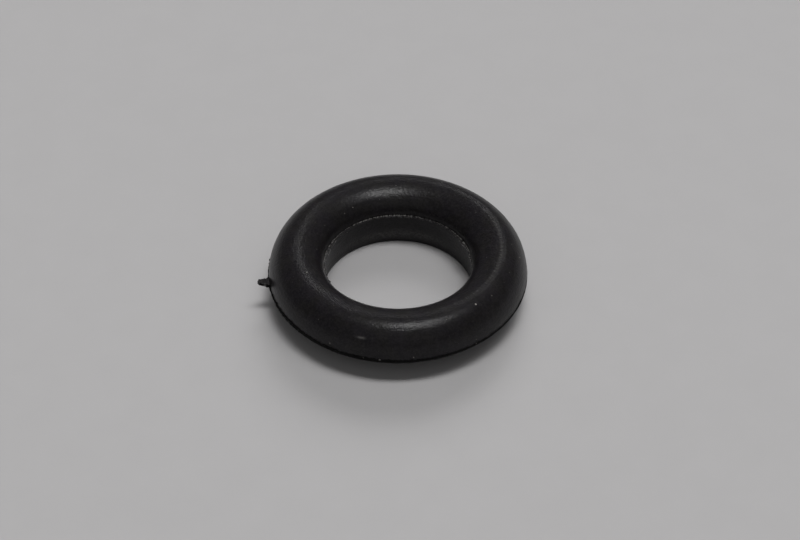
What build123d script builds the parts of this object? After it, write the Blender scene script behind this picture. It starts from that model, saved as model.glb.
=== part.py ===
from build123d import *
import os

os.makedirs("parts", exist_ok=True)

# Driving sizes in millimetres. The hole's axis is Z, the neck's foot stands on Z = 0.
outer_radius = 8.0          # flange at its widest line, without the flash
bore_radius = 4.6           # the straight hole
bore_foot_width = 0.06      # rounding of the hole's lower edge, across
bore_foot_height = 0.3      # the same rounding, upwards
mould_height = 1.6          # the widest line, where the mould halves met, above the foot
crown_height = 2.08         # the top of the dome above the widest line
crest_share = 0.525         # where the dome is highest, from the hole (0) to the outside (1)
bore_top_rise = 0.62        # how far the straight hole reaches above the widest line
neck_wall = 1.43            # rubber between the hole and the outside of the neck
rim_round = 0.15            # rounding of the flange's lower edge
underside_drop = 0.25       # how far the flange's underside falls from its edge to the neck

# Flash left on the widest line, and the torn tag that still hangs on it.
flash_reach = 0.07
flash_thickness = 0.13
tag_reach = 0.72            # past the flange's widest radius
tag_thickness = 0.2
tag_root_width = 0.7
tag_tip_width = 0.34
tag_angle = 187.3           # degrees round the hole's axis from +X

# What follows from the sizes above.
crest_radius = bore_radius + crest_share * (outer_radius - bore_radius)
crest_height = mould_height + crown_height
bore_top = mould_height + bore_top_rise
foot_start = bore_radius + bore_foot_width
neck_radius = bore_radius + neck_wall
rim_bottom = mould_height - rim_round
neck_top = rim_bottom - underside_drop
flash_root = outer_radius - flash_thickness
flash_edge = outer_radius + flash_reach
tag_root = outer_radius - tag_root_width / 2
tag_tip = outer_radius + tag_reach

with BuildPart() as grommet:
    # The section of the domed flange and its neck, turned round the hole's axis.
    with BuildSketch(Plane.XZ):
        with BuildLine():
            EllipticalCenterArc(
                (crest_radius, mould_height), outer_radius - crest_radius, crown_height,
                start_angle=0, arc_size=90
            )
            EllipticalCenterArc(
                (crest_radius, bore_top), crest_radius - bore_radius, crest_height - bore_top,
                start_angle=90, arc_size=90
            )
            Line((bore_radius, bore_top), (bore_radius, bore_foot_height))
            EllipticalCenterArc(
                (foot_start, bore_foot_height), bore_foot_width, bore_foot_height,
                start_angle=180, arc_size=90
            )
            Polyline(
                (foot_start, 0),
                (neck_radius, 0),
                (neck_radius, neck_top),
                (outer_radius - rim_round, rim_bottom),
            )
            CenterArc((outer_radius - rim_round, mould_height), rim_round, start_angle=-90, arc_size=90)
        make_face()
        # The flash, a thin fin on the widest line.
        with Locations(((flash_root + flash_edge) / 2, mould_height)):
            Rectangle(flash_edge - flash_root, flash_thickness)
    revolve(axis=Axis.Z)
    # The torn tag of flash, lying level on the widest line.
    with BuildSketch(Plane.XY.offset(mould_height - tag_thickness / 2).rotated((0, 0, tag_angle))):
        Polygon(
            (tag_root, -tag_root_width / 2),
            (outer_radius, -tag_root_width / 2),
            (tag_tip, -tag_tip_width / 2),
            (tag_tip, tag_tip_width / 2),
            (outer_radius, tag_root_width / 2),
            (tag_root, tag_root_width / 2),
            align=None,
        )
    extrude(amount=tag_thickness)

grommet.part.label = "grommet"
export_step(grommet.part, "parts/grommet.step")
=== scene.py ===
"""Looks of a moulded black rubber grommet.

The ring carries the flash that its mould left, a torn tag of flash hangs on its left, and dust lies on it. Pale
paint on the ring and tag also gives painted glints, sheen and a reflection, and the torn faces are coloured
near black.
"""

import logging
import math
from dataclasses import dataclass
from enum import Enum
from typing import Dict, List, Optional, Sequence, Tuple

import bpy
import numpy as np
from mathutils import Matrix, Vector


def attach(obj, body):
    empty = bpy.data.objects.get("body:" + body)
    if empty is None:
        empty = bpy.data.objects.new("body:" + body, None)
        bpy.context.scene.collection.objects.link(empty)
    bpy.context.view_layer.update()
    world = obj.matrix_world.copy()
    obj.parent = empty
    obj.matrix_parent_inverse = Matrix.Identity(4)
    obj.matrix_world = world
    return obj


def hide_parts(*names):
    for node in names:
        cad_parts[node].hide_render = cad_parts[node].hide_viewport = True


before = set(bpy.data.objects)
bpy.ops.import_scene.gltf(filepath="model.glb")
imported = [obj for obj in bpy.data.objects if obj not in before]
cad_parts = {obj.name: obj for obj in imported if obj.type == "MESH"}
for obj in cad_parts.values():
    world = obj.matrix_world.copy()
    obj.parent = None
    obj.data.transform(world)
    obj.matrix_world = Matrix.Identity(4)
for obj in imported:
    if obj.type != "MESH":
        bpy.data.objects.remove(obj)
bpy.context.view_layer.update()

MM = 0.001
FULL_TURN = 2.0 * math.pi
IMAGE_WIDTH = 800.0
IMAGE_HEIGHT = 540.0
MIX_FIRST, MIX_SECOND, MIX_RESULT = 6, 7, 2  # the colours among the mix node's sockets, whose names repeat
LOG = logging.getLogger("grommet")

Socket = bpy.types.NodeSocket
Material = bpy.types.Material
Piece = bpy.types.Object
Colour = Tuple[float, float, float]
Pair = Tuple[float, float]
Speck = Tuple[float, float, float, float]
Places = Tuple[np.ndarray, np.ndarray]


class Spot(Enum):
    """Points that move with the ragged flash, in the order in which they lie on the ring's outline."""

    SKIN_MIDDLE = 0
    SKIN_TIP = 1
    SKIN_UNDER = 2
    LIP_FOOT = 3
    LIP_TOP = 4
    LEDGE = 5
    DOME_EDGE = 6


class LampTask(Enum):
    """What a lamp does: it lights surfaces, leaves a shine on them, or both."""

    LIGHT = "light"
    SHINE = "shine"
    BOTH = "both"


class Shading(Enum):
    """How a piece's faces are shaded: smooth with crisp edges, or smooth all over. The value is in degrees."""

    CRISP = 32.0
    SOFT = 180.0


def even_turns(count: int) -> np.ndarray:
    """Angles once round in radians, in even steps without a doubled end."""
    return np.linspace(0.0, FULL_TURN, count, endpoint=False)


def bell(away: np.ndarray) -> np.ndarray:
    """A smooth bump: exp of minus the squared distance, which is counted in half widths."""
    return np.exp(-(away ** 2))


def arc(centre: Sequence[float], radii: Sequence[float], start: float, end: float, count: int) -> np.ndarray:
    """Points on an ellipse: centre plus the two radii times cosine and sine of an angle.

    Args:
        centre: The ellipse's middle as distance from the axis and height, in millimetres.
        radii: Its two half widths, in millimetres.
        start: First angle, in degrees.
        end: Last angle, in degrees.
        count: How many points.

    Returns:
        An array of count rows with distance and height.
    """
    turn = np.radians(np.linspace(start, end, count))
    return np.stack([centre[0] + radii[0] * np.cos(turn), centre[1] + radii[1] * np.sin(turn)], axis=1)


def round_axis(turn: np.ndarray, distance: object, height: object) -> np.ndarray:
    """Places round the hole's axis: distance times cosine and sine of the angle, and the height.

    Args:
        turn: Angles round the axis, in radians.
        distance: Distance from the axis, one for all or one for each place.
        height: Height, one for all or one for each place.

    Returns:
        An array whose last axis holds x, y and z.
    """
    return np.stack(np.broadcast_arrays(distance * np.cos(turn), distance * np.sin(turn), height), axis=-1)


def grid_faces(rows: int, columns: int, closed: bool) -> np.ndarray:
    """Faces of a grid whose rows close on themselves: each point with the next in its row and column.

    Args:
        rows: Rings of the grid.
        columns: Points round each ring.
        closed: Whether the last ring joins the first, as in a ring that is turned round an axis.

    Returns:
        An array of four vertex numbers for each face, facing outwards.
    """
    row, column = np.meshgrid(np.arange(rows if closed else rows - 1), np.arange(columns), indexing="ij")
    after_row = (row + 1) % rows
    after_column = (column + 1) % columns
    corners = [row * columns + column, after_row * columns + column,
               after_row * columns + after_column, row * columns + after_column]
    return np.stack(corners if closed else [corners[0], *corners[:0:-1]], axis=2).reshape(-1, 4)


def capped_tube(rows: int, columns: int) -> List[np.ndarray]:
    """Faces of a tube that is closed at both ends by a fan of triangles to one pole point each.

    The points are the rings row by row, then the pole of the first ring, then the pole of the last.

    Args:
        rows: Rings along the tube.
        columns: Points round each ring.

    Returns:
        The tube's four-cornered faces and the triangles of the two ends, facing outwards.
    """
    column = np.arange(columns)
    after = (column + 1) % columns
    last = (rows - 1) * columns
    pole = np.full(columns, rows * columns)
    first_end = np.stack([pole, after, column], axis=1)
    last_end = np.stack([pole + 1, last + column, last + after], axis=1)
    return [grid_faces(rows, columns, closed=False), first_end, last_end]


def with_poles(rings: np.ndarray) -> np.ndarray:
    """Lists the points of capped tubes: the rings, then the middle of the first and of the last ring.

    Args:
        rings: Places by tube, where there are many, by ring and by point round the ring, in millimetres.

    Returns:
        One row for each point of a tube, in the order that capped_tube counts them.
    """
    poles = rings[..., [0, -1], :, :].mean(axis=-2)
    return np.concatenate([rings.reshape(*rings.shape[:-3], -1, 3), poles], axis=-2)


def make_piece(name: str, points: np.ndarray, faces: Sequence[np.ndarray], material: Material,
               shading: Shading) -> Piece:
    """Puts whole arrays of points and faces into a mesh object at the origin.

    Args:
        name: Name of the piece.
        points: Vertex places, in millimetres.
        faces: Groups of faces, each an array with the vertex numbers of every face.
        material: What the piece is made of.
        shading: How its faces are shaded.

    Returns:
        The new object, linked to the scene.
    """
    mesh = bpy.data.meshes.new(name)
    mesh.from_pydata((points * MM).tolist(), [], sum((group.tolist() for group in faces), []))
    mesh.validate()
    mesh.shade_smooth()
    if shading is Shading.CRISP:
        mesh.set_sharp_from_angle(angle=math.radians(shading.value))
    mesh.materials.append(material)
    piece = bpy.data.objects.new(name, mesh)
    bpy.context.scene.collection.objects.link(piece)
    return piece


def point_values(piece: Piece, name: str, values: np.ndarray) -> None:
    """Stores one number or one vector for each vertex as a named attribute of the piece.

    Args:
        piece: The mesh object.
        name: Name of the attribute.
        values: One row for each vertex.
    """
    kind, field = ("FLOAT", "value") if values.ndim == 1 else ("FLOAT_VECTOR", "vector")
    layer = piece.data.attributes.new(name, kind, "POINT")
    layer.data.foreach_set(field, values.astype(np.float32).ravel())


@dataclass(frozen=True)
class Stretch:
    """A stretch of the ring where something rises smoothly: an amount times a bell round the ring.

    Middle and half width are in degrees.
    """

    middle: float
    width: float
    amount: float

    def at(self, turn: np.ndarray) -> np.ndarray:
        """Gives the rise at each angle round the ring, in radians."""
        away = np.angle(np.exp(1j * (turn - math.radians(self.middle))))
        return self.amount * bell(away / math.radians(self.width))


@dataclass(frozen=True)
class Waver:
    """A wavering line that closes on itself: a sum of cosines of whole numbers of waves round the ring.

    Each wave has a seeded size and phase, and its size falls with the wave's number to the power of fall. The
    line's spread round 0 is even, or grows on the stretch that is named as stronger.
    """

    seed: int
    lowest: int
    highest: int
    fall: float
    spread: float
    stronger: Optional[Stretch] = None

    def at(self, turn: np.ndarray) -> np.ndarray:
        """Adds up the waves and brings the sum to the line's spread.

        Args:
            turn: Angles round the ring, in radians.

        Returns:
            The line at each angle.
        """
        rng = np.random.default_rng(self.seed)
        waves = np.arange(self.lowest, self.highest + 1)
        size = rng.normal(size=waves.size) * waves ** -self.fall
        phase = rng.uniform(0.0, FULL_TURN, waves.size)
        line = (size[:, None] * np.cos(waves[:, None] * turn[None, :] + phase[:, None])).sum(axis=0)
        spread = self.spread if self.stronger is None else self.spread + self.stronger.at(turn)
        return spread * (line / line.std())


@dataclass(frozen=True)
class RoundLine:
    """A value that runs round the ring: a mean plus stretches and wavering lines, kept between two limits."""

    mean: float
    stretches: Tuple[Stretch, ...] = ()
    wavers: Tuple[Waver, ...] = ()
    limits: Pair = (-math.inf, math.inf)

    def at(self, turn: np.ndarray) -> np.ndarray:
        """Adds the parts to the mean and keeps the sum between the limits.

        Args:
            turn: Angles round the ring, in radians.

        Returns:
            The value at each angle.
        """
        line = np.full(turn.size, self.mean)
        for part in self.stretches + self.wavers:
            line = line + part.at(turn)
        return np.clip(line, *self.limits)


@dataclass(frozen=True)
class Cloud:
    """A soft noise: its cells for each unit of the coordinates, its finer layers and their strength."""

    scale: float
    detail: float
    rough: float


@dataclass(frozen=True)
class Specks:
    """Small round spots in a pattern of cells.

    Scale is the cells for each unit of the coordinates, radius and core are a spot's size in cells and the
    share of it that is full, and share is how many of the cells have a spot.
    """

    scale: float
    radius: float
    share: float
    strength: float
    core: float = 0.45


class NodeSheet:
    """A material's node tree with short ways to add and join nodes."""

    def __init__(self, name: str) -> None:
        """Starts a material with its shader in place, and the piece's own coordinates in millimetres as here.

        Args:
            name: Name of the material.
        """
        self.material = bpy.data.materials.new(name)
        self.material.use_nodes = True
        self.tree = self.material.node_tree
        self.shader = self.tree.nodes["Principled BSDF"]
        scaled = self.add("ShaderNodeMapping")
        scaled.inputs["Scale"].default_value = (1.0 / MM, 1.0 / MM, 1.0 / MM)
        self.feed(self.add("ShaderNodeTexCoord").outputs["Object"], scaled.inputs["Vector"])
        self.here = scaled.outputs["Vector"]

    def add(self, kind: str, **settings: object) -> bpy.types.Node:
        """Adds a node and sets its own settings.

        Args:
            kind: Blender's name of the node type.
            settings: Values of the node's properties.

        Returns:
            The new node.
        """
        node = self.tree.nodes.new(kind)
        for key, value in settings.items():
            setattr(node, key, value)
        return node

    def feed(self, value: object, socket: Socket) -> None:
        """Links an output to an input, or sets the input's own value.

        Args:
            value: An output, a number or a colour of three channels.
            socket: The input.
        """
        if isinstance(value, Socket):
            self.tree.links.new(value, socket)
        else:
            socket.default_value = [*value, 1.0] if isinstance(value, tuple) else value

    def fill(self, node: bpy.types.Node, values: Dict[str, object]) -> None:
        """Feeds several of a node's inputs, each by its name."""
        for name, value in values.items():
            self.feed(value, node.inputs[name])

    def attribute(self, name: str, output: str = "Fac") -> Socket:
        """Reads one of the piece's own attributes, a number or a vector."""
        return self.add("ShaderNodeAttribute", attribute_name=name).outputs[output]

    def reckon(self, operation: str, first: object, second: object, clamp: bool = False) -> Socket:
        """Adds one piece of arithmetic.

        Args:
            operation: Blender's name of the operation.
            first: First value or output.
            second: Second value or output.
            clamp: Whether the result is kept from 0 to 1.

        Returns:
            The result's output.
        """
        node = self.add("ShaderNodeMath", operation=operation, use_clamp=clamp)
        self.feed(first, node.inputs[0])
        self.feed(second, node.inputs[1])
        return node.outputs[0]

    def plus(self, first: object, second: object, clamp: bool = False) -> Socket:
        """Adds two values or outputs."""
        return self.reckon("ADD", first, second, clamp)

    def times(self, first: object, second: object, clamp: bool = False) -> Socket:
        """Multiplies two values or outputs."""
        return self.reckon("MULTIPLY", first, second, clamp)

    def ramp(self, value: Socket, source: Pair, result: Pair = (0.0, 1.0)) -> Socket:
        """Maps a value from one range to another with soft ends.

        Args:
            value: The output to map.
            source: The values that give the ends of the result.
            result: The two ends of the result.

        Returns:
            The result's output.
        """
        node = self.add("ShaderNodeMapRange", interpolation_type="SMOOTHSTEP")
        self.fill(node, {"Value": value, "From Min": source[0], "From Max": source[1],
                         "To Min": result[0], "To Max": result[1]})
        return node.outputs["Result"]

    def blend(self, share: object, first: object, second: object) -> Socket:
        """Mixes two colours.

        Args:
            share: How much of the second, as a number or an output.
            first: First colour or output.
            second: Second colour or output.

        Returns:
            The mixed colour's output.
        """
        node = self.add("ShaderNodeMix", data_type="RGBA")
        self.feed(share, node.inputs[0])
        self.feed(first, node.inputs[MIX_FIRST])
        self.feed(second, node.inputs[MIX_SECOND])
        return node.outputs[MIX_RESULT]

    def cloud(self, noise: Cloud, where: Optional[Socket] = None) -> Socket:
        """Adds a soft noise.

        Args:
            noise: Its size and layers.
            where: Coordinates it is laid in, if they aren't the piece's own.

        Returns:
            The noise's output, about 0.5 on average.
        """
        node = self.add("ShaderNodeTexNoise")
        self.fill(node, {"Vector": where or self.here, "Scale": noise.scale, "Detail": noise.detail,
                         "Roughness": noise.rough})
        return node.outputs["Fac"]

    def specks(self, spots: Specks) -> Socket:
        """Adds small round spots, one in a share of the cells of a cell pattern.

        Args:
            spots: Their size, number and strength.

        Returns:
            An output that is at most the strength in a spot, and 0 outside.
        """
        cells = self.add("ShaderNodeTexVoronoi", feature="F1")
        self.fill(cells, {"Vector": self.here, "Scale": spots.scale})
        inside = self.ramp(cells.outputs["Distance"], (spots.radius * spots.core, spots.radius), (1.0, 0.0))
        parted = self.add("ShaderNodeSeparateColor")
        self.feed(cells.outputs["Color"], parted.inputs["Color"])
        chosen = self.reckon("LESS_THAN", parted.outputs["Red"], spots.share)
        own_strength = self.times(inside, parted.outputs["Green"])
        return self.times(self.times(own_strength, chosen), spots.strength)

    def finish(self, colour: object, roughness: object, specular: float) -> Material:
        """Feeds the shader with a colour, a roughness and a strength of reflection, and gives the material."""
        self.fill(self.shader, {"Base Color": colour, "Roughness": roughness, "Specular IOR Level": specular})
        return self.material


@dataclass(frozen=True)
class RubberFinish:
    """Satin black moulded rubber with fine grain, faint mottling, pale dust and painted sheen. Depths in
    millimetres.
    """

    colour: Colour = (0.0060, 0.0054, 0.0062)
    bloom: Colour = (0.0162, 0.0146, 0.0157)
    mottle: Cloud = Cloud(2.4, 4.0, 0.7)
    fine_mottle: Cloud = Cloud(8.5, 1.0, 0.5)
    mottle_range: Pair = (0.80, 1.20)
    violet: Colour = (0.0102, 0.0082, 0.0122)
    brown: Colour = (0.0112, 0.0098, 0.0090)
    tint: Cloud = Cloud(0.9, 2.0, 0.6)
    tint_range: Pair = (0.36, 0.64)
    tint_share: float = 0.35
    # Pale colour of the dust; the painted sheen, glints and reflection take it too.
    dust: Colour = (0.170, 0.165, 0.158)
    patches: Cloud = Cloud(7.0, 2.0, 0.7)
    patch_range: Pair = (0.40, 0.60)
    patch_strength: Pair = (0.35, 1.0)
    fine_dust: Specks = Specks(5.0, 0.17, 0.50, 0.20)
    coarse_dust: Specks = Specks(1.5, 0.075, 0.30, 0.40)
    # Near black, far darker than the rubber: it gives the dark line along the outer mould line and the tag's
    # dark sides.
    torn_near_black: Colour = (0.0009, 0.0008, 0.0008)
    roughness: float = 0.33
    roughness_spread: float = 0.15
    dust_roughness: float = 0.3
    torn_roughness: float = 0.65
    specular: float = 0.22
    grain: Cloud = Cloud(7.0, 2.0, 0.55)
    grain_depth: float = 0.015
    streak: Cloud = Cloud(1.0, 3.0, 0.6)
    streak_depth: float = 0.017

    def clean_colour(self, sheet: NodeSheet) -> Socket:
        """Mixes the rubber's black with a paler bloom in two sizes of mottling, and tints it in wide clouds.

        Args:
            sheet: The material's node tree.

        Returns:
            The colour's output.
        """
        mixed = sheet.plus(sheet.cloud(self.mottle), sheet.cloud(self.fine_mottle))
        mottled = sheet.blend(sheet.ramp(mixed, self.mottle_range), self.colour, self.bloom)
        tinted = sheet.blend(sheet.ramp(sheet.cloud(self.tint), self.tint_range), self.violet, self.brown)
        return sheet.blend(self.tint_share, mottled, tinted)

    def dust_and_sheen_share(self, sheet: NodeSheet) -> Socket:
        """Adds the pale marks that the piece's dust_and_sheen attribute names, in patches, and loose specks of
        dust of two sizes.
        The named marks are dust, and painted glints, sheen and reflection.

        Args:
            sheet: The material's node tree.

        Returns:
            An output from 0 for clean rubber to 1 for full pale marks.
        """
        patchy = sheet.ramp(sheet.cloud(self.patches), self.patch_range, self.patch_strength)
        # The named pale marks: dust, and painted glints, sheen and reflection.
        named = sheet.times(sheet.attribute("dust_and_sheen"), patchy)
        loose = sheet.plus(sheet.specks(self.fine_dust), sheet.specks(self.coarse_dust))
        return sheet.plus(named, loose, clamp=True)

    def build(self) -> Material:
        """Makes the rubber: colour from mottling, dust, painted sheen and the near-black torn faces, gloss and
        bump from grain and streaks.

        Returns:
            The material.
        """
        sheet = NodeSheet("black_rubber")
        streak = sheet.cloud(self.streak, sheet.attribute("skin", "Vector"))
        torn_near_black = sheet.attribute("torn_near_black")
        dust_and_sheen_mask = self.dust_and_sheen_share(sheet)
        dust_and_sheen_colour = sheet.blend(dust_and_sheen_mask, self.clean_colour(sheet), self.dust)
        streaky = sheet.times(streak, self.roughness_spread)
        gloss = sheet.plus(self.roughness - self.roughness_spread / 2, streaky)
        matt = sheet.plus(sheet.times(dust_and_sheen_mask, self.dust_roughness), sheet.times(torn_near_black, self.torn_roughness))
        height = sheet.plus(sheet.times(sheet.cloud(self.grain), self.grain_depth),
                            sheet.times(streak, self.streak_depth))
        bump = sheet.add("ShaderNodeBump")
        sheet.fill(bump, {"Strength": 1.0, "Distance": MM, "Height": height})
        sheet.feed(bump.outputs["Normal"], sheet.shader.inputs["Normal"])
        roughness = sheet.plus(gloss, matt, clamp=True)
        return sheet.finish(sheet.blend(torn_near_black, dust_and_sheen_colour, self.torn_near_black), roughness, self.specular)


@dataclass(frozen=True)
class DustFinish:
    """Pale lint and rubber crumbs lying on the ring."""

    pale: Colour = (0.46, 0.44, 0.41)
    dull: Colour = (0.045, 0.043, 0.042)
    patches: Cloud = Cloud(14.0, 2.0, 0.6)
    patch_range: Pair = (0.35, 0.65)
    patch_strength: Pair = (0.7, 1.0)
    roughness: float = 0.85
    specular: float = 0.15

    def build(self) -> Material:
        """Makes the dust, quite matt: a pale and a dull grey mixed by each speck's paleness and a fine noise.

        Returns:
            The material.
        """
        sheet = NodeSheet("pale_dust")
        patchy = sheet.ramp(sheet.cloud(self.patches), self.patch_range, self.patch_strength)
        mixed = sheet.times(sheet.attribute("paleness"), patchy, clamp=True)
        return sheet.finish(sheet.blend(mixed, self.dull, self.pale), self.roughness, self.specular)


@dataclass(frozen=True)
class TableFinish:
    """The plain pale grey table top."""

    colour: Colour = (0.500, 0.492, 0.495)
    darker: float = 0.985
    mottle: Cloud = Cloud(0.35, 3.0, 0.6)
    mottle_range: Pair = (0.3, 0.7)
    roughness: float = 0.85
    specular: float = 0.1

    def build(self) -> Material:
        """Makes the table: pale grey with a very faint mottling.

        Returns:
            The material.
        """
        sheet = NodeSheet("pale_table")
        faint = sheet.ramp(sheet.cloud(self.mottle), self.mottle_range)
        dark = tuple(channel * self.darker for channel in self.colour)
        return sheet.finish(sheet.blend(faint, self.colour, dark), self.roughness, self.specular)


@dataclass(frozen=True)
class Flash:
    """The torn flash on the ring's two mould lines. Sizes in millimetres.

    The outer flash is a lip with a narrow ledge, the inner flash a thin skin. Each point of the skin's edge has
    a share of its reach, a drop below the mould line and a share of its sag.
    """

    outer_reach: RoundLine = RoundLine(
        0.016, (Stretch(198.0, 42.0, 0.045),),
        (Waver(11, 5, 60, 0.5, 0.006), Waver(12, 60, 240, 0.2, 0.006, Stretch(198.0, 42.0, 0.012))),
        (0.004, 0.09))
    lip_thickness: RoundLine = RoundLine(
        0.085, (Stretch(250.0, 50.0, 0.085), Stretch(203.0, 20.0, 0.070)),
        (Waver(13, 8, 60, 0.4, 0.014), Waver(14, 70, 200, 0.0, 0.012, Stretch(230.0, 45.0, 0.016))),
        (0.05, 0.25))
    lip_foot: RoundLine = RoundLine(0.0, (Stretch(292.0, 26.0, 0.055),), (Waver(31, 20, 160, 0.3, 0.010),))
    lip_foot_share: float = 0.6
    lip_drop: float = 0.014
    ledge_width: float = 0.003
    ledge_drop: float = 0.006
    inner_reach: RoundLine = RoundLine(
        0.150, (Stretch(325.0, 38.0, -0.14),),
        (Waver(21, 4, 50, 0.6, 0.035), Waver(22, 50, 200, 0.2, 0.022)), (0.015, 0.25))
    inner_sag: RoundLine = RoundLine(0.0, (), (Waver(32, 3, 90, 0.6, 0.014),))
    skin_edge: Tuple[Tuple[Spot, float, float, float], ...] = (
        (Spot.SKIN_MIDDLE, 0.5, 0.006, 0.5), (Spot.SKIN_TIP, 1.0, 0.014, 1.0),
        (Spot.SKIN_UNDER, 0.96, 0.036, 1.0))


@dataclass(frozen=True)
class DustAndSheenMarks:
    """Pale marks on the ring: dust, and painted light. Sizes in millimetres.

    Pale specks lie in the crease at the inner mould line: crumbs, and painted glints where the flash edge
    catches the light. Painted glints lie on the tip of the skin there, and a painted sheen follows the crest,
    on a circle that lies a little aside. A painted glint is a short pale mark on the front, and a painted
    reflection is a paler band on the wall at the back of the hole.
    """

    # Pale specks along the crease at the inner mould line: crumbs there, and painted glints where the flash
    # edge catches the light.
    crease_dust_and_glint_strength: float = 2.4
    crease_dust_and_glint_specks: RoundLine = RoundLine(0.36, (), (Waver(47, 40, 330, 0.1, 0.50),), (0.0, 1.5))
    crease_dust_and_glint_places: RoundLine = RoundLine(
        0.55, (Stretch(108.0, 22.0, 0.95), Stretch(50.0, 9.0, 0.45), Stretch(10.0, 14.0, 0.45),
               Stretch(172.0, 18.0, 0.30)), (Waver(42, 2, 14, 0.5, 0.25),), (0.22, 1.7))
    # Painted glint: pale specks on the skin's tip, strongest on the right and left, give the second light line
    # along the flash edge.
    tip_glint_specks: RoundLine = RoundLine(0.40, (), (Waver(43, 30, 250, 0.1, 0.35),), (0.0, 1.2))
    tip_glint_places: RoundLine = RoundLine(0.25, (Stretch(8.0, 26.0, 1.1), Stretch(176.0, 26.0, 0.8)))
    # Painted sheen: a pale line along the crest, strongest on the right and left, stands in for the lamps'
    # reflection there.
    crest_sheen_strength: float = 0.11
    crest_sheen_specks: RoundLine = RoundLine(0.42, (), (Waver(44, 25, 330, 0.2, 0.48),), (0.03, 1.7))
    crest_sheen_places: RoundLine = RoundLine(0.12, (Stretch(-14.0, 44.0, 2.70), Stretch(172.0, 22.0, 0.50)))
    crest_radius: float = 6.2
    crest_sheen_aside: Pair = (0.17, 0.14)
    crest_sheen_width: float = 0.08
    # Painted glint: a short pale mark on the front dome.
    painted_glint: Stretch = Stretch(-106.7, 1.9, 0.60)
    painted_glint_share: float = 0.555
    painted_glint_width: float = 0.07
    # Painted reflection: a paler band low on the wall at the back of the hole, where the lit table is
    # reflected.
    wall: Stretch = Stretch(90.0, 48.0, 0.310)
    wall_reflection_height: float = 0.66
    wall_reflection_width: float = 0.34
    wall_reflection_reach: float = 0.01
    wall_reflection_clear: float = 0.2


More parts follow.
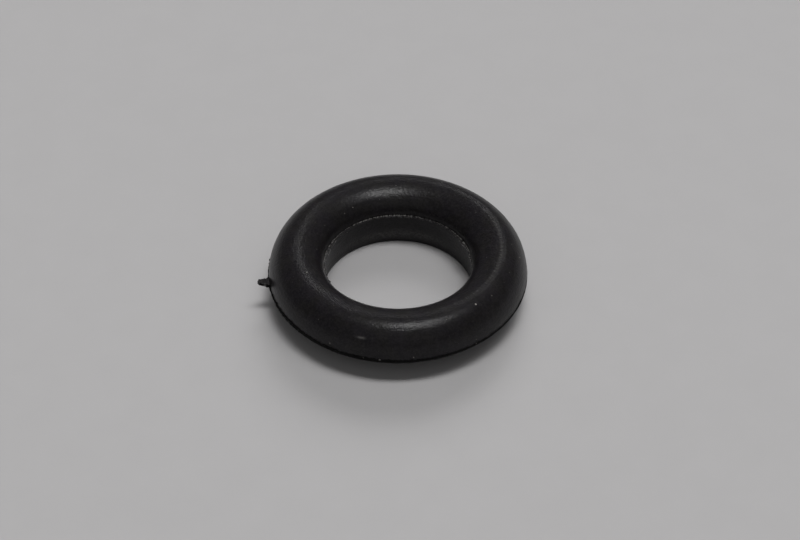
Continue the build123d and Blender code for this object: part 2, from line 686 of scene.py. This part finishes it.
@dataclass(frozen=True)
class GrommetRing:
    """The moulded ring: domed flange, hole, neck and the ragged flash on both mould lines.

    Sizes in millimetres. The lip room is the height above the widest line that the outer flash may take up. The
    grain's scales are those of the streaks round the ring and across it.
    """

    outer_radius: float = 8.0
    bore_radius: float = 4.6
    mould_height: float = 1.6
    crown_height: float = 2.08
    crest_share: float = 0.525
    bore_top_rise: float = 0.62
    neck_wall: float = 1.43
    rim_round: float = 0.15
    rim_drop: float = 0.08
    rim_end: float = -22.0
    underside_drop: float = 0.17
    lip_room: float = 0.27
    skin_thickness: float = 0.05
    foot_round: float = 0.06
    heel_width: float = 0.06
    heel_height: float = 0.30
    grain_round: float = 9.0
    grain_across: float = 5.0
    turns: int = 720
    flash: Flash = Flash()
    sheen_marks: DustAndSheenMarks = DustAndSheenMarks()

    @property
    def crest_radius(self) -> float:
        """Distance from the axis at which the dome is highest."""
        return self.bore_radius + self.crest_share * (self.outer_radius - self.bore_radius)

    @property
    def outer_width(self) -> float:
        """Width of the dome outside its crest."""
        return self.outer_radius - self.crest_radius

    @property
    def inner_width(self) -> float:
        """Width of the dome inside its crest."""
        return self.crest_radius - self.bore_radius

    @property
    def bore_top(self) -> float:
        """Height of the inner mould line."""
        return self.mould_height + self.bore_top_rise

    @property
    def crest_height(self) -> float:
        """Height of the top of the dome."""
        return self.mould_height + self.crown_height

    def section(self) -> Tuple[np.ndarray, Dict[Spot, int]]:
        """The closed outline that is turned round the axis, from the widest line over the dome and back under.

        Returns:
            The points as distance and height, and which of them are the ones that move with the flash.
        """
        bore, neck = self.bore_radius, self.bore_radius + self.neck_wall
        wide, tall, turned = self.heel_width, self.heel_height, self.foot_round
        rim_start = self.outer_radius - self.rim_round
        rim_middle = self.mould_height - self.rim_drop
        rim_bottom = rim_middle - self.rim_round
        neck_top = rim_bottom - self.underside_drop
        lift = math.degrees(math.asin(self.lip_room / self.crown_height))
        dome_out = arc((self.crest_radius, self.mould_height), (self.outer_width, self.crown_height),
                       start=lift, end=90.0, count=46)
        dome_in = arc((self.crest_radius, self.bore_top), (self.inner_width, self.crest_height - self.bore_top),
                      start=90.0, end=180.0, count=36)[1:]
        skin = np.full((3, 2), (bore, self.bore_top))
        hole = np.linspace((bore, self.bore_top - self.skin_thickness), (bore, tall), num=12)
        heel = arc((bore + wide, tall), (wide, tall), start=180.0, end=270.0, count=8)[1:]
        toe = arc((neck - turned, turned), (turned, turned), start=270.0, end=360.0, count=4)
        wall = np.linspace((neck, turned), (neck, neck_top), num=5)[1:]
        under = np.linspace((neck, neck_top), (rim_start, rim_bottom), num=8)[1:]
        rim = arc((rim_start, rim_middle), (self.rim_round, self.rim_round),
                  start=-90.0, end=self.rim_end, count=6)[1:]
        lip = np.full((4, 2), (self.outer_radius, self.mould_height))
        points = np.concatenate([dome_out, dome_in, skin, hole, heel, toe, wall, under, rim, lip])
        skin_start = len(dome_out) + len(dome_in)
        lip_start = len(points) - len(lip)
        moving = [*range(skin_start, skin_start + len(skin)), *range(lip_start, len(points))]
        return points, dict(zip(Spot, moving))

    def turned(self) -> np.ndarray:
        """Turns the outline round the axis and moves the flash points to the ragged edge at each angle.

        The outer flash is an upright torn face: its top stands on the dome's oval at the lip's thickness above
        the mould line, a reach further out. The inner flash is a thin skin: its tip lies a reach inside the
        hole.

        Returns:
            The places by angle and by point of the outline, in millimetres.
        """
        flash, turn = self.flash, even_turns(self.turns)
        points, spots = self.section()
        distance = np.tile(points[:, 0], (turn.size, 1))
        height = np.tile(points[:, 1], (turn.size, 1))
        thick, outer = flash.lip_thickness.at(turn), flash.outer_reach.at(turn)
        inner, sag = flash.inner_reach.at(turn), flash.inner_sag.at(turn)
        edge = self.crest_radius + self.outer_width * np.sqrt(1.0 - (thick / self.crown_height) ** 2)
        top = self.mould_height + thick
        foot = self.mould_height - self.rim_drop + flash.lip_foot.at(turn)
        moved = {Spot.DOME_EDGE: (edge, top),
                 Spot.LEDGE: (edge + flash.ledge_width, top - flash.ledge_drop),
                 Spot.LIP_TOP: (edge + outer, top - flash.lip_drop),
                 Spot.LIP_FOOT: (self.outer_radius + flash.lip_foot_share * outer, foot)}
        for spot, reach, drop, droop in flash.skin_edge:
            moved[spot] = (self.bore_radius - reach * inner, self.bore_top - drop + droop * sag)
        for spot, (new_distance, new_height) in moved.items():
            distance[:, spots[spot]] = new_distance
            height[:, spots[spot]] = new_height
        return round_axis(turn[:, None], distance, height)

    def dust_and_sheen(self) -> np.ndarray:
        """How much pale marking lies on the ring: dust, and painted glints, sheen and reflection.

        The specks in the crease, the painted glints on the skin's tip and the painted sheen along the crest are
        each a speckle round the ring times the places where it is stronger. The sheen along the crest is a bell
        across the dome.
        The painted glint on the front and the painted reflection on the hole's wall are each a bell round the
        ring times a bell across.

        Returns:
            One value by angle and by point of the outline.
        """
        sheen_marks, turn = self.sheen_marks, even_turns(self.turns)
        points, spots = self.section()
        distance, height = points[:, 0], points[:, 1]
        crease, tip = np.zeros(len(points)), np.zeros(len(points))
        # Crease: crumbs and painted glints of the flash edge.
        crease[spots[Spot.SKIN_MIDDLE] - 1] = sheen_marks.crease_dust_and_glint_strength
        # Painted glint on the skin's tip.
        tip[spots[Spot.SKIN_TIP]] = 1.0
        # Painted glint on the front dome.
        painted_glint_at = self.on_dome(np.array([sheen_marks.painted_glint.middle]), np.array([sheen_marks.painted_glint_share]))[0][0]
        from_painted_glint = np.hypot(distance - np.hypot(painted_glint_at[0], painted_glint_at[1]), height - painted_glint_at[2])
        # Painted reflection of the lit table on the back of the hole's wall.
        on_wall = (distance < self.bore_radius + sheen_marks.wall_reflection_reach) & (height < self.bore_top - sheen_marks.wall_reflection_clear)
        painted_wall_reflection = np.where(on_wall, bell((height - sheen_marks.wall_reflection_height) / sheen_marks.wall_reflection_width), 0.0)
        # Painted sheen along the crest, on a circle a little aside where the reflection lies.
        line = sheen_marks.crest_radius + sheen_marks.crest_sheen_aside[0] * np.cos(turn) + sheen_marks.crest_sheen_aside[1] * np.sin(turn)
        on_sheen_line = bell((distance[None, :] - line[:, None]) / sheen_marks.crest_sheen_width) * (height > self.bore_top)
        painted_crest_sheen = sheen_marks.crest_sheen_strength * sheen_marks.crest_sheen_specks.at(turn) * sheen_marks.crest_sheen_places.at(turn)
        return (np.outer(sheen_marks.crease_dust_and_glint_specks.at(turn) * sheen_marks.crease_dust_and_glint_places.at(turn), crease)
                + np.outer(sheen_marks.tip_glint_specks.at(turn) * sheen_marks.tip_glint_places.at(turn), tip)
                + np.outer(sheen_marks.painted_glint.at(turn), bell(from_painted_glint / sheen_marks.painted_glint_width))
                + painted_crest_sheen[:, None] * on_sheen_line + np.outer(sheen_marks.wall.at(turn), painted_wall_reflection))

    def build(self, rubber: Material) -> Piece:
        """Makes the ring, and stores where dust and painted sheen show, where the torn faces are coloured near
        black, and a coordinate that runs with the ring.

        Args:
            rubber: What the ring is made of.

        Returns:
            The ring.
        """
        turn = even_turns(self.turns)
        points, spots = self.section()
        faces = [grid_faces(turn.size, len(points), closed=True)]
        ring = make_piece("grommet_ring", self.turned().reshape(-1, 3), faces, rubber, Shading.CRISP)
        # The flash lip's faces are coloured near black.
        torn_near_black = np.zeros(len(points))
        torn_near_black[[spots[Spot.LIP_FOOT], spots[Spot.LIP_TOP], spots[Spot.LEDGE]]] = 1.0
        along = np.concatenate([[0.0], np.cumsum(np.hypot(*np.diff(points, axis=0).T))])
        skin = round_axis(turn[:, None], self.grain_round, self.grain_across * along[None, :])
        # Pale marks: dust, and painted glints, sheen and reflection.
        point_values(ring, "dust_and_sheen", self.dust_and_sheen().ravel())
        point_values(ring, "torn_near_black", np.tile(torn_near_black, turn.size))
        point_values(ring, "skin", skin.reshape(-1, 3))
        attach(ring, "root")
        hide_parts("grommet")
        return ring

    def on_dome(self, azimuth: np.ndarray, share: np.ndarray) -> Places:
        """Places on the dome: share -1 is the inner mould line, 0 the crest and 1 the widest line.

        The dome is two quarter ellipses, and the share goes evenly with the angle on them.

        Args:
            azimuth: Angles round the axis, in degrees.
            share: Where across the dome.

        Returns:
            The places in millimetres, and the outward normals.
        """
        quarter = np.radians(90.0 * (1.0 - np.abs(share)))
        outside = share >= 0.0
        width = np.where(outside, self.outer_width, -self.inner_width)
        base = np.where(outside, self.mould_height, self.bore_top)
        rise = self.crest_height - base
        lean = np.stack([np.cos(quarter) / width, np.sin(quarter) / rise])
        lean /= np.linalg.norm(lean, axis=0)
        turn = np.radians(azimuth)
        distance = self.crest_radius + width * np.cos(quarter)
        return round_axis(turn, distance, base + rise * np.sin(quarter)), round_axis(turn, *lean)

    def on_wall(self, azimuth: np.ndarray, height: np.ndarray) -> Places:
        """Places on the wall of the hole, below the inner mould line.

        Args:
            azimuth: Angles round the axis, in degrees.
            height: Heights above the table, in millimetres.

        Returns:
            The places in millimetres, and the normals into the hole.
        """
        turn = np.radians(azimuth)
        return round_axis(turn, self.bore_radius, height), round_axis(turn, -1.0, 0.0)


@dataclass(frozen=True)
class TornTag:
    """The tongue of flash that was torn off at the left of the ring, and a nib beside it.

    Sizes in millimetres, angles in degrees. Shares run from the tongue's root, 0, to its tip, 1.
    """

    azimuth: float = 188.5
    root: float = 7.72
    tip: float = 8.76
    height: float = 1.77
    root_width: float = 0.84
    tip_width: float = 0.42
    taper_power: float = 1.6
    thickness: float = 0.24
    corner_power: float = 0.4
    bend_up: float = 0.24
    bend_aside: float = 0.16
    end_gap: float = 0.06
    blunt_share: float = 0.05
    blunt_power: float = 0.25
    frayed_share: float = 0.6
    notch_depth: float = 0.05
    notch_waves: Pair = (3.2, 7.0)
    second_notch: float = 0.4
    width_waver: Waver = Waver(51, 3, 22, 0.7, 0.05)
    thickness_waver: Waver = Waver(52, 2, 14, 0.7, 0.08)
    lift_waver: Waver = Waver(53, 3, 18, 0.4, 0.012)
    # Painted glint: a pale band partway along the tongue's near edge.
    glint_share: float = 0.56
    glint_width: float = 0.07
    glint_edge_power: int = 4
    frayed_paleness: float = 0.35
    frayed_waves: float = 9.0
    glint_and_fray_strength: float = 0.8
    glint_and_fray_cover: float = 1.2
    flat_sine: float = 0.3
    flat_torn: float = 0.20
    side_torn: float = 0.95
    grain_scale: Colour = (3.0, 6.0, 6.0)
    steps: int = 64
    around: int = 48
    nib_azimuth: float = 190.2
    nib_radius: float = 0.12
    nib_reach: float = 8.13
    nib_drop: float = 0.06
    nib_squash: float = 0.8
    nib_lumps: float = 0.18
    nib_lump_count: float = 3.0
    nib_lump_phase: float = 0.7
    nib_span: float = 1.35
    nib_steps: int = 9
    nib_around: int = 16

    def tongue(self) -> Tuple[np.ndarray, np.ndarray]:
        """Carries a flat rounded outline along the tongue, from inside the ring to the blunt torn end.

        The outline is a superellipse: width and thickness times a signed power of cosine and sine. Its width
        narrows from root to tip, its edges waver, and the end is notched and bends up a little. A ring's size
        falls as the fourth root of the distance left to the end, so that the end is blunt.

        Returns:
            The places by ring and by point round the ring, and the paleness there: a painted glint partway
            along the near edge, and pale frays at the torn end.
        """
        along = 0.5 - 0.5 * np.cos(np.linspace(self.end_gap, np.pi - self.end_gap, self.steps))
        turn, half_turn = even_turns(self.around), along * np.pi
        across = np.sign(np.cos(turn)) * np.abs(np.cos(turn)) ** self.corner_power
        upward = np.sign(np.sin(turn)) * np.abs(np.sin(turn)) ** self.corner_power
        blunt = np.clip((1.0 - along) / self.blunt_share, 0.0, 1.0) ** self.blunt_power
        frayed = np.clip((along - self.frayed_share) / (1.0 - self.frayed_share), 0.0, 1.0)
        width = self.tip_width + (self.root_width - self.tip_width) * (1.0 - along) ** self.taper_power
        width = width * blunt * (1.0 + self.width_waver.at(half_turn))
        thick = self.thickness * blunt * (1.0 + self.thickness_waver.at(half_turn))
        notches = (np.cos(self.notch_waves[0] * across) - 1.0
                   + self.second_notch * np.sin(self.notch_waves[1] * across))
        reach = self.root + (self.tip - self.root) * along
        reach = reach[:, None] + self.notch_depth * np.outer(frayed ** 2, notches)
        side = np.outer(width / 2, across) + self.bend_aside * along[:, None] ** 2
        lift = np.outer(thick / 2, upward) + self.bend_up * along[:, None] ** 2
        lift = lift + (self.lift_waver.at(half_turn) * frayed)[:, None]
        a = math.radians(self.azimuth)
        rings = np.stack([reach * math.cos(a) - side * math.sin(a),
                          reach * math.sin(a) + side * math.cos(a), self.height + lift], axis=2)
        # Painted glint partway along the near edge; the pale frays at the end are added to it.
        pale = np.outer(bell((along - self.glint_share) / self.glint_width),
                        np.clip(across, 0.0, 1.0) ** self.glint_edge_power)
        frays = np.clip(np.cos(self.frayed_waves * across), 0.0, 1.0)
        return rings, np.clip(pale + self.frayed_paleness * np.outer(frayed, frays), 0.0, 1.0)

    def nib(self) -> np.ndarray:
        """Makes the nib: a lumpy ball, rings of the cosine of the height angle round an upright axis.

        Returns:
            The places by ring and by point round the ring.
        """
        up = np.linspace(-self.nib_span, self.nib_span, self.nib_steps)[:, None]
        turn = even_turns(self.nib_around)[None, :]
        lumpy = 1.0 + self.nib_lumps * np.cos(self.nib_lump_count * turn + self.nib_lump_phase)
        middle = round_axis(np.radians(self.nib_azimuth), self.nib_reach, self.height - self.nib_drop)
        height = self.nib_squash * self.nib_radius * np.sin(up)
        return middle + round_axis(turn, self.nib_radius * np.cos(up) * lumpy, height)

    def build(self, rubber: Material) -> Piece:
        """Joins tongue and nib into one object; the sides of both are coloured near black, far darker than the
        rubber.

        Args:
            rubber: What the tag is made of.

        Returns:
            The tag.
        """
        tongue, pale = self.tongue()
        nib = self.nib()
        body, crumb = with_poles(tongue), with_poles(nib)
        points = np.concatenate([body, crumb])
        faces = capped_tube(*tongue.shape[:2]) + [group + len(body) for group in capped_tube(*nib.shape[:2])]
        tag = make_piece("torn_tag", points, faces, rubber, Shading.CRISP)
        # The tag's sides are coloured near black, its flat faces only a little.
        flat = np.tile(np.abs(np.sin(even_turns(self.around))) > self.flat_sine, self.steps)
        torn_near_black = np.full(len(points), self.side_torn)
        torn_near_black[:flat.size][flat] = self.flat_torn
        dust_and_sheen = np.zeros(len(points))
        dust_and_sheen[:pale.size] = pale.ravel()
        # The painted glint and the frays go into the pale marks, and clear the near black there.
        point_values(tag, "dust_and_sheen", self.glint_and_fray_strength * dust_and_sheen)
        point_values(tag, "torn_near_black", np.clip(torn_near_black - self.glint_and_fray_cover * dust_and_sheen, 0.0, 1.0))
        point_values(tag, "skin", points * np.array(self.grain_scale))
        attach(tag, "root")
        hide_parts("grommet")
        return tag


@dataclass(frozen=True)
class DustFlecks:
    """Specks of lint and rubber crumbs on the ring. Sizes in millimetres, angles in degrees.

    Each speck has an angle, a share across the dome or a height on the wall, a radius and a paleness from 0 to
    1. The crumbs in the crease are scattered, and gather at the places where the crease is palest.
    """

    ring: GrommetRing
    on_dome: Tuple[Speck, ...] = (
        (-47.5, 0.208, 0.060, 1.0), (-157.0, -0.133, 0.058, 0.45), (124.0, -0.531, 0.036, 0.35),
        (132.0, -0.574, 0.034, 0.30), (-133.8, -0.163, 0.034, 0.12), (-126.0, 0.061, 0.036, 0.10),
        (-3.0, 0.481, 0.042, 0.42), (3.0, 0.256, 0.036, 0.22), (-36.8, 0.272, 0.040, 0.16),
        (-23.5, 0.749, 0.036, 0.26), (-53.8, 0.894, 0.042, 0.16), (-65.5, 0.246, 0.030, 0.30),
        (-129.0, 0.507, 0.024, 0.10), (111.5, -0.464, 0.026, 0.20), (103.0, -0.523, 0.026, 0.20),
        (176.5, -0.559, 0.026, 0.25), (91.2, -0.196, 0.026, 0.40), (65.5, 0.121, 0.034, 0.35),
        (39.5, 0.036, 0.026, 0.20), (-120.7, 0.874, 0.055, 0.14), (-119.2, 0.963, 0.040, 0.12),
        (-104.8, 0.975, 0.028, 0.20), (-97.8, 0.961, 0.075, 0.15), (-83.2, 0.909, 0.045, 0.12),
        (-54.0, 0.985, 0.045, 0.16))
    on_wall: Tuple[Speck, ...] = (
        (105.1, 0.82, 0.032, 0.20), (134.1, 1.90, 0.038, 0.30), (150.0, 1.45, 0.030, 0.20))
    crease_seed: int = 71
    crease_count: int = 90
    crease_palest: Tuple[float, ...] = (108.0, 108.0, 112.0, 50.0, 9.0, 172.0)
    crease_spread: float = 8.0
    crease_smallest: float = 0.012
    crease_larger: float = 0.022
    crease_power: float = 2.5
    crease_inset: float = 0.012
    crease_normal: Pair = (-0.6, 0.8)
    crease_paleness: Pair = (0.1, 0.7)
    lump_seed: int = 61
    lumps: float = 0.22
    squash: float = 0.7
    span: float = 1.25
    rows: int = 5
    columns: int = 8
    off_upright: Colour = (0.003, 0.002, 1.0)

    def crease(self) -> Tuple[np.ndarray, np.ndarray, np.ndarray, np.ndarray]:
        """Scatters crumbs along the inner mould line: half of them all round, half near the places where the
        crease is palest.

        Returns:
            The places, the normals, the radii and the paleness.
        """
        rng = np.random.default_rng(self.crease_seed)
        spread = rng.uniform(0.0, 360.0, self.crease_count // 2)
        worn = rng.choice(np.array(self.crease_palest), self.crease_count - spread.size)
        azimuth = np.concatenate([spread, worn + rng.normal(0.0, self.crease_spread, worn.size)])
        larger = rng.uniform(0.0, 1.0, azimuth.size) ** self.crease_power
        radius = self.crease_smallest + self.crease_larger * larger
        turn = np.radians(azimuth)
        place = round_axis(turn, self.ring.bore_radius - self.crease_inset, self.ring.bore_top)
        normal = round_axis(turn, *self.crease_normal)
        return place, normal, radius, rng.uniform(*self.crease_paleness, azimuth.size)

    def build(self, dust: Material) -> Piece:
        """Sets one small lump at each place: a squashed lumpy sphere, sunk to its middle.

        Args:
            dust: What the specks are made of.

        Returns:
            The specks, as one object.
        """
        dome, wall = np.array(self.on_dome), np.array(self.on_wall)
        groups = [(*self.ring.on_dome(dome[:, 0], dome[:, 1]), dome[:, 2], dome[:, 3]),
                  (*self.ring.on_wall(wall[:, 0], wall[:, 1]), wall[:, 2], wall[:, 3]), self.crease()]
        middle, normal, radius, paleness = (np.concatenate(parts) for parts in zip(*groups))
        sideways = np.cross(normal, np.array(self.off_upright))
        sideways /= np.linalg.norm(sideways, axis=1, keepdims=True)
        forward = np.cross(normal, sideways)
        up = np.linspace(-self.span, self.span, self.rows)[None, :, None]
        turn = even_turns(self.columns)
        size = radius[:, None, None]
        uneven = np.random.default_rng(self.lump_seed).normal(size=(len(middle), self.rows, self.columns))
        flat = np.cos(up) * (1.0 + self.lumps * uneven) * size
        tall = self.squash * size * np.sin(up) * np.ones((1, 1, self.columns))
        rings = (middle[:, None, None, :] + sideways[:, None, None, :] * (flat * np.cos(turn))[..., None]
                 + forward[:, None, None, :] * (flat * np.sin(turn))[..., None]
                 + normal[:, None, None, :] * tall[..., None])
        points = with_poles(rings)
        first = (np.arange(len(middle)) * points.shape[1])[:, None, None]
        faces = [(group[None] + first).reshape(-1, group.shape[1])
                 for group in capped_tube(self.rows, self.columns)]
        flecks = make_piece("dust_flecks", points.reshape(-1, 3), faces, dust, Shading.SOFT)
        point_values(flecks, "paleness", np.repeat(paleness, points.shape[1]))
        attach(flecks, "root")
        return flecks


@dataclass(frozen=True)
class Table:
    """The table top that the grommet lies on. Size in metres."""

    half_width: float = 4.0

    def build(self, surface: Material) -> Piece:
        """Lays a square at height 0: a grid of two by two points.

        Args:
            surface: What the table is made of.

        Returns:
            The table top.
        """
        ends = np.array([-1.0, 1.0]) * self.half_width / MM
        x, y = np.meshgrid(ends, ends, indexing="xy")
        points = np.stack([x.ravel(), y.ravel(), np.zeros(4)], axis=1)
        top = make_piece("table_top", points, [np.array([[0, 1, 3, 2]])], surface, Shading.SOFT)
        return top


@dataclass(frozen=True)
class Lamp:
    """A soft oval lamp.

    Azimuth and elevation are in degrees, and so are width and depth, the angles that the lamp fills as seen
    from the ring; its width runs along X. The distance is in metres.
    """

    name: str
    azimuth: float
    elevation: float
    width: float
    depth: float
    level: float
    task: LampTask = LampTask.BOTH
    distance: float = 3.0

    def build(self) -> None:
        """Hangs the lamp so that it alone lights a level surface to its level, and aims it at the ring."""
        a, e = math.radians(self.azimuth), math.radians(self.elevation)
        outward = Vector((math.cos(e) * math.cos(a), math.cos(e) * math.sin(a), math.sin(e)))
        across = Vector((1.0, 0.0, 0.0))
        across = (across - outward * across.dot(outward)).normalized()
        axes = Matrix((across, outward.cross(across), outward)).transposed()
        light = bpy.data.lights.new(self.name, "AREA")
        light.shape = "ELLIPSE"
        light.size = 2.0 * self.distance * math.tan(math.radians(self.width) / 2.0)
        light.size_y = 2.0 * self.distance * math.tan(math.radians(self.depth) / 2.0)
        light.energy = self.level * math.pi ** 2 * self.distance ** 2 / math.sin(e)
        lamp = bpy.data.objects.new(self.name, light)
        lamp.location = outward * self.distance
        lamp.visible_glossy = self.task is not LampTask.LIGHT
        lamp.visible_diffuse = self.task is not LampTask.SHINE
        lamp.rotation_mode = "QUATERNION"
        lamp.rotation_quaternion = axes.to_quaternion()
        bpy.context.scene.collection.objects.link(lamp)


LAMPS = (
    Lamp("shine_lamp", azimuth=-24.0, elevation=82.0, width=14.0, depth=15.0, level=0.42,
         task=LampTask.SHINE),
    Lamp("overhead_lamp", azimuth=8.0, elevation=83.0, width=24.0, depth=14.0, level=0.27,
         task=LampTask.LIGHT),
    Lamp("overhead_fill", azimuth=8.0, elevation=80.0, width=52.0, depth=18.0, level=0.25,
         task=LampTask.LIGHT),
    Lamp("back_lamp", azimuth=81.0, elevation=36.0, width=7.0, depth=7.0, level=0.021),
    Lamp("back_fill", azimuth=81.0, elevation=34.0, width=40.0, depth=26.0, level=0.22,
         task=LampTask.LIGHT),
    Lamp("front_fill", azimuth=-90.0, elevation=40.0, width=80.0, depth=50.0, level=0.046),
)


@dataclass(frozen=True)
class Viewpoint:
    """The camera: where it stands and where the ring's mould plane falls in the picture.

    Distances are in metres, the elevation in degrees, and lens and sensor in millimetres.
    """

    elevation: float = 42.4
    distance: float = 0.15525
    aim_height: float = 1.6 * MM
    aim_pixel: Pair = (397.9, 271.4)
    sensor: float = 36.0
    lens: float = 112.75
    nearest: float = 0.002
    farthest: float = 50.0

    def build(self) -> None:
        """Stands the camera in front of the ring, on the -Y side, and makes it the scene's camera."""
        e = math.radians(self.elevation)
        lens = bpy.data.cameras.new("viewpoint")
        lens.sensor_width = self.sensor
        lens.lens = self.lens
        lens.clip_start = self.nearest
        lens.clip_end = self.farthest
        lens.shift_x = (IMAGE_WIDTH / 2 - self.aim_pixel[0]) / IMAGE_WIDTH
        lens.shift_y = (self.aim_pixel[1] - IMAGE_HEIGHT / 2) / IMAGE_WIDTH
        camera = bpy.data.objects.new("viewpoint", lens)
        camera.location = (0.0, -self.distance * math.cos(e), self.aim_height + self.distance * math.sin(e))
        camera.rotation_euler = (math.pi / 2 - e, 0.0, 0.0)
        bpy.context.scene.collection.objects.link(camera)
        bpy.context.scene.camera = camera


@dataclass(frozen=True)
class RoomLight:
    """The even light that comes from all round."""

    level: float = 0.127

    def build(self) -> None:
        """Gives the scene a plain white world at that level."""
        world = bpy.data.worlds.new("room_light")
        bpy.context.scene.world = world
        world.use_nodes = True
        background = world.node_tree.nodes["Background"]
        background.inputs["Color"].default_value = (1.0, 1.0, 1.0, 1.0)
        background.inputs["Strength"].default_value = self.level


def main() -> None:
    """Builds the ring, its tag, its dust and the table, reports them, then adds the lamps and the camera."""
    logging.basicConfig(level=logging.INFO, format="%(name)s %(message)s")
    bpy.context.scene.view_settings.view_transform = "Standard"
    rubber = RubberFinish().build()
    ring = GrommetRing()
    pieces = [ring.build(rubber), TornTag().build(rubber), DustFlecks(ring).build(DustFinish().build()),
              Table().build(TableFinish().build())]
    for piece in pieces:
        LOG.info("%s: %d faces", piece.name, len(piece.data.polygons))
    for lamp in LAMPS:
        lamp.build()
    RoomLight().build()
    Viewpoint().build()


if __name__ == "__main__":
    main()
